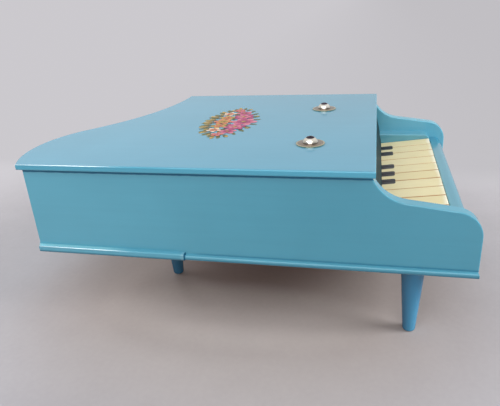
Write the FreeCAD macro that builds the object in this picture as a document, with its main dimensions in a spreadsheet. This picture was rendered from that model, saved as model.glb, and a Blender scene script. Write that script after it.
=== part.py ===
"""Toy grand piano: a glued wooden case on three peg legs, ten wooden keys on one rod, a hammer over each
key's tail and ten steel chime rods in an iron bar that two screws hang below the lid.

While a piece is drawn, x runs from bass to treble with 0 in the middle of the case, v runs from the front of
the cheeks to the tail and h is the height above the underside of the base. Every piece is then placed so that
the origin lies on the floor, below the middle of the whole toy.
"""

import FreeCAD
import Part
import Sketcher
import math
import os

# Driving dimensions in millimetres and degrees
SIZES = {
    # Case
    "side_thick": 9.5,
    "base_thick": 3.7,
    "tail_board_thick": 5.2,
    "case_height": 66.4,
    "lid_thick": 4.6,
    "lid_front": 66.2,
    "lid_overhang": 2.8,
    "lid_tail_overhang": 4.0,
    "base_lip": 3.2,
    "tail_board_lip": 4.2,
    "base_tail_lip": 1.2,
    "base_joint": 198.0,
    "batten_width": 24.0,
    "batten_thick": 6.0,
    "board_round": 1.2,
    "treble_length": 260.6,
    "bend_angle": 40.0,
    "tail_angle": 30.0,
    "tail_radius": 77.6,
    "bentside_thick": 4.0,
    # Cheeks
    "cheek_height": 42.8,
    "cheek_slope": 7.6,
    "nose_radius": 17.5,
    "scoop_radius": 28.0,
    "scoop_setback": 2.2,
    "cheek_round": 0.9,
    # Legs
    "leg_height": 56.8,
    "leg_top_diameter": 17.2,
    "leg_foot_diameter": 9.2,
    "foot_round": 2.0,
    "tenon_diameter": 8.0,
    "tenon_length": 14.0,
    "front_leg_setback": 38.6,
    "tail_leg_offset": 38.5,
    "tail_leg_shift": -42.3,
    "leg_block_width": 24.0,
    "leg_block_height": 12.0,
    # Keys
    "key_count": 10,
    "key_pitch": 17.8,
    "key_gap": 0.6,
    "key_front": 15.8,
    "key_front_height": 32.3,
    "key_slope": 6.84,
    "key_length": 103.0,
    "key_thick": 8.0,
    "key_round": 0.6,
    "key_dip": 5.0,
    "pivot_reach": 48.0,
    "key_rod_diameter": 2.5,
    # Key frame
    "block_width": 13.5,
    "block_top": 35.8,
    "block_round": 6.0,
    "block_edge_round": 1.0,
    "block_behind_rod": 16.0,
    "slip_setback": 3.6,
    "slip_gap": 1.3,
    "slip_height": 29.8,
    "slip_round": 6.0,
    "slip_back_round": 0.8,
    "balance_rail_width": 10.0,
    "front_rail_setback": 2.2,
    "front_rail_width": 10.0,
    "back_rail_setback": 2.0,
    "back_rail_width": 8.0,
    "felt_thick": 1.5,
    "nameboard_step": 5.7,
    "nameboard_thick": 8.0,
    "nameboard_lean": 12.6,
    "nameboard_gap": 1.6,
    # Hammers
    "hammer_thick": 5.0,
    "hammer_arm": 6.0,
    "hammer_pivot_rise": 9.4,
    "heel_reach": 18.0,
    "heel_width": 5.0,
    "heel_margin": 3.0,
    "head_width": 6.0,
    "hammer_ratio": 2.8,
    "hammer_wire_diameter": 1.6,
    "hammer_wire_margin": 4.0,
    "comb_back": 4.5,
    "comb_depth": 12.0,
    "comb_below": 5.0,
    "comb_height": 12.0,
    "strike_distance": 14.5,
    "strike_gap": 0.6,
    # Chimes
    "chime_offset": 16.0,
    "chime_bar_width": 14.0,
    "chime_bar_height": 15.0,
    "chime_bar_margin": 8.0,
    "chime_rod_diameter": 2.5,
    "chime_socket": 8.0,
    "longest_chime": 150.0,
    "chime_screw_span": 107.7,
    "chime_screw_shift": -4.0,
    "chime_screw_diameter": 4.0,
    "chime_screw_tip": 3.0,
    "screw_head_diameter": 6.0,
    "screw_head_edge": 0.3,
    "screw_head_height": 1.2,
    "washer_diameter": 20.8,
    "washer_rim": 0.7,
    "washer_brim": 1.2,
    "washer_dome_diameter": 11.6,
    "washer_height": 4.7,
    # Fits
    "running_clearance": 0.05,
    "rest_clearance": 0.3,
    "comb_clearance": 0.4,
    "screw_clearance": 0.25,
    "socket_clearance": 0.02,
}

NOTES = ("c", "d", "e", "f", "g", "a", "b", "c", "d", "e")
SEMITONES = (0, 2, 4, 5, 7, 9, 11, 12, 14, 16)

doc = FreeCAD.newDocument("toy_piano")
sheet = doc.addObject("Spreadsheet::Sheet", "Sizes")
for row, (alias, number) in enumerate(SIZES.items(), start=1):
    sheet.set(f"A{row}", alias)
    sheet.set(f"B{row}", str(number))
    sheet.setAlias(f"B{row}", alias)
doc.recompute()


class Size:
    """A number that remembers the sheet formula it comes from."""

    def __init__(self, number, formula):
        self.number = number
        self.formula = formula

    def join(self, sign, other, result):
        return Size(result, f"({self.formula} {sign} {other.formula})")

    def __add__(self, other):
        other = as_size(other)
        return self.join("+", other, self.number + other.number)

    def __sub__(self, other):
        other = as_size(other)
        return self.join("-", other, self.number - other.number)

    def __mul__(self, other):
        other = as_size(other)
        return self.join("*", other, self.number * other.number)

    def __truediv__(self, other):
        other = as_size(other)
        return self.join("/", other, self.number / other.number)

    def __radd__(self, other):
        return as_size(other) + self

    def __rsub__(self, other):
        return as_size(other) - self

    def __rmul__(self, other):
        return as_size(other) * self

    def __neg__(self):
        return as_size(0) - self


def as_size(thing):
    return thing if isinstance(thing, Size) else Size(float(thing), str(float(thing)))


def sine(angle):
    return Size(math.sin(math.radians(angle.number)), f"sin({angle.formula} * 1 deg)")


def cosine(angle):
    return Size(math.cos(math.radians(angle.number)), f"cos({angle.formula} * 1 deg)")


def root(square):
    return Size(math.sqrt(square.number), f"sqrt({square.formula})")


def smaller(one, other):
    return Size(min(one.number, other.number), f"min({one.formula}; {other.formula})")


class Names:
    """The sheet's sizes by alias, as in s.side_thick."""

    def __getattr__(self, alias):
        return Size(float(SIZES[alias]), f"Sizes.{alias}")


s = Names()

# Plan of the case
inner_half = s.key_count * s.key_pitch / 2 + s.block_width
case_half = inner_half + s.side_thick
key_half = s.key_count * s.key_pitch / 2
bend_sine = sine(s.bend_angle)
bend_cosine = cosine(s.bend_angle)
sweep_radius = (case_half * 2 - s.tail_radius * (bend_sine + sine(s.tail_angle))) / bend_sine
bend_x = case_half - sweep_radius * bend_sine
bend_v = s.treble_length + sweep_radius * (1 - bend_cosine)
sweep_v = s.treble_length + sweep_radius
tail_x = bend_x - s.tail_radius * bend_sine
tail_v = bend_v - s.tail_radius * bend_cosine
overall_length = tail_v + s.tail_radius + s.lid_tail_overhang
leg_inset = inner_half - s.block_width / 2
tail_leg_v = s.base_joint + s.tail_leg_offset

# Side view of a key at rest: its top runs down to the back, and the rod sits in the middle of its thickness
slope_sine = sine(s.key_slope)
slope_cosine = cosine(s.key_slope)
slope_tangent = slope_sine / slope_cosine
pivot_v = s.key_front + s.pivot_reach * slope_cosine - s.key_thick / 2 * slope_sine
pivot_h = s.key_front_height - s.pivot_reach * slope_sine - s.key_thick / 2 * slope_cosine
key_tail_v = s.key_front + s.key_length * slope_cosine
key_width = s.key_pitch - s.key_gap

# Side view of the action behind the keys
hammer_v = key_tail_v - s.heel_margin - s.heel_reach
hammer_h = pivot_h + s.hammer_pivot_rise
hammer_turn = s.key_dip * s.hammer_ratio
chime_v = hammer_v + s.chime_offset
chime_back_v = chime_v + s.chime_bar_width / 2
chime_h = s.case_height - s.chime_bar_height / 2
head_reach = chime_back_v + s.strike_distance - hammer_v


def key_top(v):
    """Height of a resting key's top face at v."""
    return s.key_front_height - (v - s.key_front) * slope_tangent


def place(piece, x=0, v=0, h=0):
    """Move a piece from the drawing frame to its place above the floor."""
    goal = {"x": as_size(x), "y": as_size(v) - overall_length / 2, "z": as_size(h) + s.leg_height}
    for axis, size in goal.items():
        piece.setExpression(f"Placement.Base.{axis}", size.formula)
    return piece


def new_body(label, x=0, v=0, h=0):
    body = doc.addObject("PartDesign::Body", label)
    body.Label = label
    return place(body, x, v, h)


def origin_part(body, role):
    return next(part for part in body.Origin.OriginFeatures if part.Role == role)


def new_sketch(body, plane, level=0):
    """A sketch on one of the body's own planes, lifted along the plane's normal by level."""
    sketch = body.newObject("Sketcher::SketchObject", f"{body.Name}_sketch")
    sketch.AttachmentSupport = [(origin_part(body, plane), "")]
    sketch.MapMode = "FlatFace"
    sketch.setExpression("AttachmentOffset.Base.z", as_size(level).formula)
    return sketch


def bind(sketch, kind, *where, size):
    """Add a dimension whose value follows the sheet."""
    index = sketch.addConstraint(Sketcher.Constraint(kind, *where, size.number))
    sketch.setExpression(f"Constraints[{index}]", size.formula)


def pin_point(sketch, edge, end, across, up):
    """Hold one end of an edge at its distances from the sketch's origin."""
    for kind, axis, size in (("DistanceX", -2, across), ("DistanceY", -1, up)):
        if size.number == 0:
            sketch.addConstraint(Sketcher.Constraint("PointOnObject", edge, end, axis))
        else:
            bind(sketch, kind, -1, 1, edge, end, size=size)


def arc_between(start, end, radius):
    """The arc under a half turn from start to end: it turns left for a positive radius, right for a negative."""
    middle = (start + end) / 2
    chord = end - start
    rise = math.sqrt(radius**2 - (chord.Length / 2) ** 2)
    left = FreeCAD.Vector(-chord.y, chord.x, 0).normalize()
    centre = middle + left * math.copysign(rise, radius)
    first, last = (start, end) if radius > 0 else (end, start)
    angles = [math.atan2(point.y - centre.y, point.x - centre.x) for point in (first, last)]
    circle = Part.Circle(centre, FreeCAD.Vector(0, 0, 1), abs(radius))
    return Part.ArcOfCircle(circle, angles[0], angles[1])


def draw_outline(sketch, *corners):
    """Draw a closed outline. A corner is (across, up), or (across, up, radius) where an arc arrives at it."""
    corners = [tuple(as_size(part) for part in corner) for corner in corners]
    points = [FreeCAD.Vector(corner[0].number, corner[1].number, 0) for corner in corners]
    ends = []
    for index, corner in enumerate(corners):
        if len(corner) == 3:
            sketch.addGeometry(arc_between(points[index - 1], points[index], corner[2].number))
            ends.append((1, 2) if corner[2].number > 0 else (2, 1))
        else:
            sketch.addGeometry(Part.LineSegment(points[index - 1], points[index]))
            ends.append((1, 2))
    for index, corner in enumerate(corners):
        following = (index + 1) % len(corners)
        joint = Sketcher.Constraint("Coincident", index, ends[index][1], following, ends[following][0])
        sketch.addConstraint(joint)
        pin_point(sketch, index, ends[index][1], corner[0], corner[1])
        if len(corner) == 3:
            radius = corner[2] if corner[2].number > 0 else -corner[2]
            bind(sketch, "Radius", index, size=radius)
    return sketch


def draw_box(sketch, left, right, bottom, top):
    return draw_outline(sketch, (left, bottom), (right, bottom), (right, top), (left, top))


def draw_circle(sketch, across, up, radius):
    centre = FreeCAD.Vector(as_size(across).number, as_size(up).number, 0)
    index = sketch.addGeometry(Part.Circle(centre, FreeCAD.Vector(0, 0, 1), radius.number))
    pin_point(sketch, index, 3, as_size(across), as_size(up))
    bind(sketch, "Radius", index, size=radius)
    return sketch


def pad(body, sketch, length):
    feature = body.newObject("PartDesign::Pad", f"{body.Name}_pad")
    feature.Profile = sketch
    feature.setExpression("Length", length.formula)
    doc.recompute()
    return feature


def cut_through(body, sketch):
    """Cut the sketch's shape right through the body, both ways."""
    before = body.Shape.Volume
    feature = body.newObject("PartDesign::Pocket", f"{body.Name}_cut")
    feature.Profile = sketch
    feature.Type = "ThroughAll"
    feature.SideType = "Symmetric"
    doc.recompute()
    if body.Shape.Volume >= before:
        raise ValueError(f"a cut took nothing from {body.Label}")
    return feature


def cut_deep(body, sketch, depth, along_normal):
    before = body.Shape.Volume
    feature = body.newObject("PartDesign::Pocket", f"{body.Name}_cut")
    feature.Profile = sketch
    feature.Reversed = along_normal
    feature.setExpression("Length", depth.formula)
    doc.recompute()
    if body.Shape.Volume >= before:
        raise ValueError(f"a cut took nothing from {body.Label}")
    return feature


def turn(body, sketch):
    """Turn the sketch round the body's own upright axis."""
    feature = body.newObject("PartDesign::Revolution", f"{body.Name}_turn")
    feature.Profile = sketch
    feature.ReferenceAxis = (sketch, ["V_Axis"])
    feature.Angle = 360
    doc.recompute()
    return feature


def repeat_along_x(body, feature, sketch):
    """Repeat a cut once for every key."""
    pattern = body.newObject("PartDesign::LinearPattern", f"{body.Name}_row")
    pattern.Originals = [feature]
    pattern.Direction = (sketch, ["H_Axis"])
    pattern.setExpression("Length", ((s.key_count - 1) * s.key_pitch).formula)
    pattern.setExpression("Occurrences", s.key_count.formula)
    body.Tip = pattern
    doc.recompute()
    return pattern


def round_edges(body, radius, wanted):
    """Round the edges of a body's last feature whose middle point passes the test."""
    base = body.Tip
    names = []
    for index, edge in enumerate(base.Shape.Edges, start=1):
        middle = edge.valueAt((edge.FirstParameter + edge.LastParameter) / 2)
        if wanted(middle):
            names.append(f"Edge{index}")
    feature = body.newObject("PartDesign::Fillet", f"{body.Name}_round")
    feature.Base = (base, names)
    feature.setExpression("Radius", radius.formula)
    doc.recompute()
    return feature


def near(one, size):
    return abs(one - as_size(size).number) < 1e-4


def new_box(label, x, v, h, length, width, height):
    box = doc.addObject("Part::Box", label)
    box.Label = label
    for side, size in (("Length", length), ("Width", width), ("Height", height)):
        box.setExpression(side, as_size(size).formula)
    return place(box, x, v, h)


def new_rod(label, x, v, h, diameter, length, direction):
    """A round rod that starts at (x, v, h) and runs along direction."""
    rod = doc.addObject("Part::Cylinder", label)
    rod.Label = label
    rod.setExpression("Radius", (diameter / 2).formula)
    rod.setExpression("Height", length.formula)
    turned = FreeCAD.Rotation(FreeCAD.Vector(0, 0, 1), FreeCAD.Vector(*direction))
    rod.Placement = FreeCAD.Placement(FreeCAD.Vector(), turned)
    return place(rod, x, v, h)


def new_group(label, pieces):
    group = doc.addObject("Part::Compound", label)
    group.Label = label
    group.Links = pieces
    return group


def tail_edge_v(margin, x_from_tail):
    """Where the round of the tail, moved outwards by margin, passes at a distance from the tail's centre."""
    radius = s.tail_radius + margin
    return tail_v + root(radius * radius - x_from_tail * x_from_tail)


def tail_corners(overhang, margin):
    """Corners of a board's edge from the treble side round to the spine, the board standing proud of the case."""
    outer = case_half + overhang
    return [
        (outer, s.treble_length + margin),
        (case_half, s.treble_length + margin),
        (bend_x + margin * bend_sine, bend_v + margin * bend_cosine, -(sweep_radius - margin)),
        (tail_x, tail_v + s.tail_radius + margin, s.tail_radius + margin),
        (-outer, tail_edge_v(margin, outer + tail_x), s.tail_radius + margin),
    ]


def make_base_boards():
    """A thin front board and a thicker tail board, butted under the case, with holes for the legs' tenons."""
    outer = case_half + s.base_lip
    hole = s.tenon_diameter / 2 + s.running_clearance
    front = new_body("base_front_board")
    pad(front, draw_box(new_sketch(front, "XY_Plane"), -outer, outer, 0, s.base_joint), s.base_thick)
    rounding = smaller(s.board_round, s.base_thick * 0.4)
    round_edges(front, rounding, lambda p: not near(p.y, s.base_joint) and not near(p.z, s.base_thick / 2))
    for leg_x in (-leg_inset, leg_inset):
        cut_through(front, draw_circle(new_sketch(front, "XY_Plane"), leg_x, s.front_leg_setback, hole))
    outer = case_half + s.tail_board_lip
    tail = new_body("base_tail_board")
    corners = [(-outer, s.base_joint), (outer, s.base_joint)] + tail_corners(s.tail_board_lip, s.base_tail_lip)
    pad(tail, draw_outline(new_sketch(tail, "XY_Plane"), *corners), s.tail_board_thick)
    rounding = smaller(s.board_round, s.tail_board_thick * 0.4)
    round_edges(tail, rounding, lambda p: not near(p.y, s.base_joint) and not near(p.z, s.tail_board_thick / 2))
    cut_through(tail, draw_circle(new_sketch(tail, "XY_Plane"), s.tail_leg_shift, tail_leg_v, hole))

    batten = new_body("base_batten", x=-key_half)
    batten_front = s.base_joint - s.batten_width / 2
    batten_back = s.base_joint + s.batten_width / 2
    batten_top = s.tail_board_thick + s.batten_thick
    corners = [
        (batten_front, s.base_thick),
        (s.base_joint, s.base_thick),
        (s.base_joint, s.tail_board_thick),
        (batten_back, s.tail_board_thick),
        (batten_back, batten_top),
        (batten_front, batten_top),
    ]
    pad(batten, draw_outline(new_sketch(batten, "YZ_Plane"), *corners), key_half * 2)
    return [front, tail, batten]


def side_corners(end_v):
    """Side view of a case side: upright front, rounded nose, sloping cheek and a scoop up to the lid.

    Its lower edge steps up where it leaves the thin front board for the tail board.
    """
    rise_sine = sine(s.cheek_slope)
    rise_cosine = cosine(s.cheek_slope)
    nose_h = s.cheek_height - s.nose_radius * (1 - rise_sine) / rise_cosine
    slope_v = s.nose_radius * (1 - rise_sine)
    slope_h = nose_h + s.nose_radius * rise_cosine
    # The scoop touches the slope and ends below the lid's front edge: how far along the slope does it start?
    scoop_v = s.lid_front + s.scoop_setback
    gap_v = slope_v - s.scoop_radius * rise_sine - scoop_v
    gap_h = slope_h + s.scoop_radius * rise_cosine - s.case_height
    along = gap_v * rise_cosine + gap_h * rise_sine
    square = along * along - gap_v * gap_v - gap_h * gap_h + s.scoop_radius * s.scoop_radius
    run = -along - root(square)
    return [
        (end_v, s.tail_board_thick),
        (end_v, s.case_height),
        (scoop_v, s.case_height),
        (slope_v + run * rise_cosine, slope_h + run * rise_sine, -s.scoop_radius),
        (slope_v, slope_h),
        (0, nose_h, s.nose_radius),
        (0, s.base_thick),
        (s.base_joint, s.base_thick),
        (s.base_joint, s.tail_board_thick),
    ]


def make_side(label, x, end_v):
    """A case side with its cheek, the cheek's show edges rounded."""
    body = new_body(label, x=x)
    pad(body, draw_outline(new_sketch(body, "YZ_Plane"), *side_corners(end_v)), s.side_thick)
    round_edges(
        body,
        smaller(s.cheek_round, s.side_thick * 0.4),
        lambda p: p.y < s.lid_front.number - 1e-3
        and s.base_thick.number + 1e-3 < p.z < s.case_height.number - 1e-3
        and not near(p.x, s.side_thick / 2),
    )
    return body


def make_sides():
    """The spine runs on to the tail, where its end follows the round of the tail."""
    spine_v = tail_edge_v(0, case_half + tail_x)
    inner_v = tail_edge_v(0, inner_half + tail_x)
    spare = s.side_thick
    bass = make_side("bass_side", -case_half, inner_v + spare)
    corners = [
        (0, spine_v),
        (s.side_thick, inner_v, -s.tail_radius),
        (s.side_thick, inner_v + spare * 2),
        (0, inner_v + spare * 2),
    ]
    cut_through(bass, draw_outline(new_sketch(bass, "XY_Plane"), *corners))
    treble = make_side("treble_side", inner_half, s.treble_length)
    return [bass, treble]


def make_bentside():
    """The bent wall between the two sides: hollow beside the treble, round at the tail."""
    wall = s.bentside_thick
    reach = inner_half + tail_x
    tail_inner = s.tail_radius - wall
    outer_square = sweep_radius * sweep_radius - s.side_thick * s.side_thick
    inner_square = (sweep_radius + wall) * (sweep_radius + wall) - s.side_thick * s.side_thick
    body = new_body("bentside")
    corners = [
        (-inner_half, tail_edge_v(-wall, reach)),
        (tail_x, tail_v + tail_inner, -tail_inner),
        (bend_x - wall * bend_sine, bend_v - wall * bend_cosine, -tail_inner),
        (inner_half, sweep_v - root(inner_square), sweep_radius + wall),
        (inner_half, sweep_v - root(outer_square)),
        (bend_x, bend_v, -sweep_radius),
        (tail_x, tail_v + s.tail_radius, s.tail_radius),
        (-inner_half, tail_edge_v(0, reach), s.tail_radius),
    ]
    wall_height = s.case_height - s.tail_board_thick
    pad(body, draw_outline(new_sketch(body, "XY_Plane", s.tail_board_thick), *corners), wall_height)
    return [body]


def screw_places():
    return [s.chime_screw_shift + s.chime_screw_span * side / 2 for side in (-1, 1)]


def make_lid():
    """One thin board over the case, all its edges rounded, with holes for the chime screws."""
    outer = case_half + s.lid_overhang
    body = new_body("lid")
    corners = [(-outer, s.lid_front), (outer, s.lid_front)] + tail_corners(s.lid_overhang, s.lid_tail_overhang)
    pad(body, draw_outline(new_sketch(body, "XY_Plane", s.case_height), *corners), s.lid_thick)
    rounding = smaller(s.board_round, s.lid_thick * 0.45)
    round_edges(body, rounding, lambda p: not near(p.z, s.case_height + s.lid_thick / 2))
    hole = s.chime_screw_diameter / 2 + s.screw_clearance
    for screw_x in screw_places():
        cut_through(body, draw_circle(new_sketch(body, "XY_Plane"), screw_x, chime_v, hole))
    return [body]


def make_key_frame():
    """What stands round the keys: slip, end blocks, leaning nameboard and the three rails below."""
    slip_back = s.key_front - s.slip_gap
    slip = new_body("key_slip", x=-inner_half)
    corners = [
        (s.slip_setback, s.base_thick),
        (slip_back, s.base_thick),
        (slip_back, s.slip_height - s.slip_back_round),
        (slip_back - s.slip_back_round, s.slip_height, s.slip_back_round),
        (s.slip_setback + s.slip_round, s.slip_height),
        (s.slip_setback, s.slip_height - s.slip_round, s.slip_round),
    ]
    pad(slip, draw_outline(new_sketch(slip, "YZ_Plane"), *corners), inner_half * 2)
    pieces = [slip]

    block_back = pivot_v + s.block_behind_rod
    for label, block_x, key_side in (
        ("bass_key_block", -inner_half, s.block_width),
        ("treble_key_block", key_half, as_size(0)),
    ):
        block = new_body(label, x=block_x)
        corners = [
            (slip_back, s.base_thick),
            (block_back, s.base_thick),
            (block_back, s.block_top),
            (slip_back + s.block_round, s.block_top),
            (slip_back, s.block_top - s.block_round, s.block_round),
        ]
        pad(block, draw_outline(new_sketch(block, "YZ_Plane"), *corners), s.block_width)
        round_edges(
            block,
            smaller(s.block_edge_round, s.block_width * 0.4),
            lambda p: near(p.x, key_side) and p.z > (s.block_top - s.block_round).number,
        )
        rod_hole = s.key_rod_diameter / 2 + s.running_clearance
        cut_through(block, draw_circle(new_sketch(block, "YZ_Plane"), pivot_v, pivot_h, rod_hole))
        tenon_hole = draw_circle(
            new_sketch(block, "XY_Plane", s.base_thick),
            s.block_width / 2, s.front_leg_setback, s.tenon_diameter / 2 + s.running_clearance,
        )
        cut_deep(block, tenon_hole, s.tenon_length - s.base_thick + s.rest_clearance, along_normal=True)
        pieces.append(block)

    board = new_body("nameboard", x=-inner_half)
    foot_v = s.lid_front - s.nameboard_step
    foot_h = key_top(foot_v) + s.nameboard_gap
    level_thick = s.nameboard_thick / cosine(s.nameboard_lean)
    lean_run = (s.case_height - foot_h) * sine(s.nameboard_lean) / cosine(s.nameboard_lean)
    corners = [
        (foot_v, foot_h),
        (foot_v + level_thick, foot_h),
        (foot_v + level_thick + lean_run, s.case_height),
        (foot_v + lean_run, s.case_height),
    ]
    pad(board, draw_outline(new_sketch(board, "YZ_Plane"), *corners), inner_half * 2)
    for notch_x in (0, inner_half * 2 - s.block_width):
        notch = new_sketch(board, "XZ_Plane")
        cut_through(board, draw_box(notch, notch_x, notch_x + s.block_width, 0, s.block_top))
    pieces.append(board)

    crown = s.balance_rail_width / 2
    crown_h = pivot_h - s.key_thick / 2 - s.rest_clearance - crown
    rail = new_body("balance_rail", x=-key_half)
    corners = [
        (pivot_v - crown, s.base_thick),
        (pivot_v + crown, s.base_thick),
        (pivot_v + crown, crown_h),
        (pivot_v, crown_h + crown, crown),
        (pivot_v - crown, crown_h, crown),
    ]
    pad(rail, draw_outline(new_sketch(rail, "YZ_Plane"), *corners), key_half * 2)
    pieces.append(rail)

    pressed = s.key_slope - s.key_dip
    front_v = s.key_front + s.front_rail_setback
    front_reach = pivot_v - front_v - s.front_rail_width
    front_h = (
        pivot_h - s.key_thick / 2 / cosine(pressed)
        + front_reach * sine(pressed) / cosine(pressed) - s.rest_clearance - s.felt_thick
    )
    back_v = key_tail_v - s.back_rail_setback - s.back_rail_width
    back_h = key_top(back_v + s.back_rail_width) - s.key_thick / slope_cosine - s.rest_clearance - s.felt_thick
    for name, rail_v, rail_h, width in (
        ("front", front_v, front_h, s.front_rail_width),
        ("back", back_v, back_h, s.back_rail_width),
    ):
        pieces.append(new_box(
            f"{name}_rail", -key_half, rail_v, s.base_thick, key_half * 2, width, rail_h - s.base_thick,
        ))
        pieces.append(new_box(
            f"{name}_rail_felt", -key_half, rail_v, rail_h, key_half * 2, width, s.felt_thick,
        ))
    return pieces


def key_x(index):
    """Bass edge of a key."""
    return s.key_pitch * index + s.key_gap / 2 - key_half


def make_keys():
    """Ten plain wooden keys, front end high, all bored for one rod."""
    pieces = []
    drop_v = s.key_thick * slope_sine
    drop_h = s.key_thick * slope_cosine
    tail_h = s.key_front_height - s.key_length * slope_sine
    for index, note in enumerate(NOTES):
        body = new_body(f"key_{index + 1}_{note}", x=key_x(index))
        corners = [
            (s.key_front, s.key_front_height),
            (s.key_front - drop_v, s.key_front_height - drop_h),
            (key_tail_v - drop_v, tail_h - drop_h),
            (key_tail_v, tail_h),
        ]
        pad(body, draw_outline(new_sketch(body, "YZ_Plane"), *corners), key_width)
        bore = s.key_rod_diameter / 2 + s.running_clearance
        cut_through(body, draw_circle(new_sketch(body, "YZ_Plane"), pivot_v, pivot_h, bore))
        round_edges(
            body,
            smaller(s.key_round, s.key_thick * 0.4),
            lambda p: near(p.z, key_top(as_size(p.y))) and p.y < key_tail_v.number - 1e-3,
        )
        pieces.append(body)
    rod = new_rod(
        "key_pivot_rod", -inner_half, pivot_v, pivot_h, s.key_rod_diameter, inner_half * 2, (1, 0, 0),
    )
    return pieces + [rod]


def hammer_corners():
    """Side view of a hammer about its pivot: round butt, level arm, heel pointing down, head pointing up."""
    arm = s.hammer_arm / 2
    heel = s.heel_width / 2
    head = s.head_width / 2
    heel_v = hammer_v + s.heel_reach
    heel_h = key_top(heel_v) + (heel + s.rest_clearance) / slope_cosine
    head_v = hammer_v + head_reach
    strike_h = chime_h - s.chime_rod_diameter / 2 - s.strike_gap - head
    head_h = hammer_h + (strike_h - hammer_h - head_reach * sine(hammer_turn)) / cosine(hammer_turn)
    return [
        (heel_v - heel, hammer_h - arm),
        (heel_v - heel, heel_h),
        (heel_v, heel_h - heel, heel),
        (heel_v + heel, heel_h, heel),
        (heel_v + heel, hammer_h - arm),
        (head_v + head, hammer_h - arm),
        (head_v + head, head_h),
        (head_v, head_h + head, head),
        (head_v - head, head_h, head),
        (head_v - head, hammer_h + arm),
        (hammer_v, hammer_h + arm),
        (hammer_v - arm, hammer_h, arm),
        (hammer_v, hammer_h - arm, arm),
    ]


def make_hammers():
    """A hammer over each key's tail, a comb that keeps them in line and the wire they turn on."""
    pieces = []
    bore = s.hammer_wire_diameter / 2 + s.running_clearance
    for index, note in enumerate(NOTES):
        middle = key_x(index) + key_width / 2
        body = new_body(f"hammer_{index + 1}_{note}", x=middle - s.hammer_thick / 2)
        pad(body, draw_outline(new_sketch(body, "YZ_Plane"), *hammer_corners()), s.hammer_thick)
        cut_through(body, draw_circle(new_sketch(body, "YZ_Plane"), hammer_v, hammer_h, bore))
        pieces.append(body)

    comb_back = hammer_v + s.comb_back
    comb = new_body("hammer_rail")
    side_view = draw_box(
        new_sketch(comb, "YZ_Plane", -inner_half),
        comb_back - s.comb_depth, comb_back,
        hammer_h - s.comb_below, hammer_h - s.comb_below + s.comb_height,
    )
    pad(comb, side_view, inner_half * 2)
    cut_through(comb, draw_circle(new_sketch(comb, "YZ_Plane"), hammer_v, hammer_h, bore))
    slot_half = s.hammer_thick / 2 + s.comb_clearance
    slot_front = hammer_v - s.hammer_arm / 2 - s.comb_clearance
    first = key_x(0) + key_width / 2
    slot = new_sketch(comb, "XY_Plane")
    draw_box(slot, first - slot_half, first + slot_half, slot_front, comb_back + s.comb_clearance)
    repeat_along_x(comb, cut_through(comb, slot), slot)

    wire_half = key_half + s.hammer_wire_margin
    wire = new_rod(
        "hammer_pivot_wire", -wire_half, hammer_v, hammer_h, s.hammer_wire_diameter, wire_half * 2, (1, 0, 0),
    )
    return pieces + [comb, wire]


def make_chimes():
    """The iron bar below the lid and its graded rods: an octave up needs a rod shorter by the root of two."""
    bar_half = key_half - s.key_pitch / 2 + s.chime_bar_margin
    bar = new_body("chime_bar")
    top_view = draw_box(
        new_sketch(bar, "XY_Plane", s.case_height - s.chime_bar_height),
        -bar_half, bar_half, chime_v - s.chime_bar_width / 2, chime_back_v,
    )
    pad(bar, top_view, s.chime_bar_height)
    for screw_x in screw_places():
        hole = s.chime_screw_diameter / 2 + s.running_clearance
        cut_through(bar, draw_circle(new_sketch(bar, "XY_Plane"), screw_x, chime_v, hole))
    socket = new_sketch(bar, "XZ_Plane", -chime_back_v)
    first = key_x(0) + key_width / 2
    draw_circle(socket, first, chime_h, s.chime_rod_diameter / 2 + s.socket_clearance)
    repeat_along_x(bar, cut_deep(bar, socket, s.chime_socket, along_normal=True), socket)

    rods = []
    for index, semitone in enumerate(SEMITONES):
        length = s.longest_chime * 2 ** (-semitone / 24)
        rods.append(new_rod(
            f"chime_rod_{index + 1}", key_x(index) + key_width / 2, chime_back_v - s.chime_socket, chime_h,
            s.chime_rod_diameter, length + s.chime_socket, (0, 1, 0),
        ))
    return [bar, new_group("chime_rods", rods)]


def make_fittings():
    """Cup washers on the lid, and the round-head screws through them into the chime bar."""
    washers = []
    screws = []
    shank = s.chime_screw_diameter / 2
    rim = s.washer_diameter / 2
    dome = s.washer_dome_diameter / 2
    head = s.screw_head_diameter / 2
    crown = s.screw_head_height - s.screw_head_edge
    crown_radius = (head * head + crown * crown) / (crown * 2)
    tip = s.chime_screw_tip - s.lid_thick - s.chime_bar_height
    bore = shank + s.screw_clearance
    for number, screw_x in enumerate(screw_places(), start=1):
        washer = new_body(f"cup_washer_{number}", screw_x, chime_v, s.case_height + s.lid_thick)
        profile = draw_outline(
            new_sketch(washer, "XZ_Plane"),
            (bore, 0),
            (rim, 0),
            (rim, s.washer_rim),
            (dome, s.washer_brim),
            (head, s.washer_height, s.washer_height),
            (bore, s.washer_height),
        )
        turn(washer, profile)
        washers.append(washer)
        screw = new_body(f"chime_screw_{number}", screw_x, chime_v, s.case_height + s.lid_thick)
        profile = draw_outline(
            new_sketch(screw, "XZ_Plane"),
            (0, tip),
            (shank, tip),
            (shank, s.washer_height),
            (head, s.washer_height),
            (head, s.washer_height + s.screw_head_edge),
            (0, s.washer_height + s.screw_head_height, crown_radius),
        )
        turn(screw, profile)
        screws.append(screw)
    return [new_group("cup_washers", washers), new_group("chime_screws", screws)]


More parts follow.
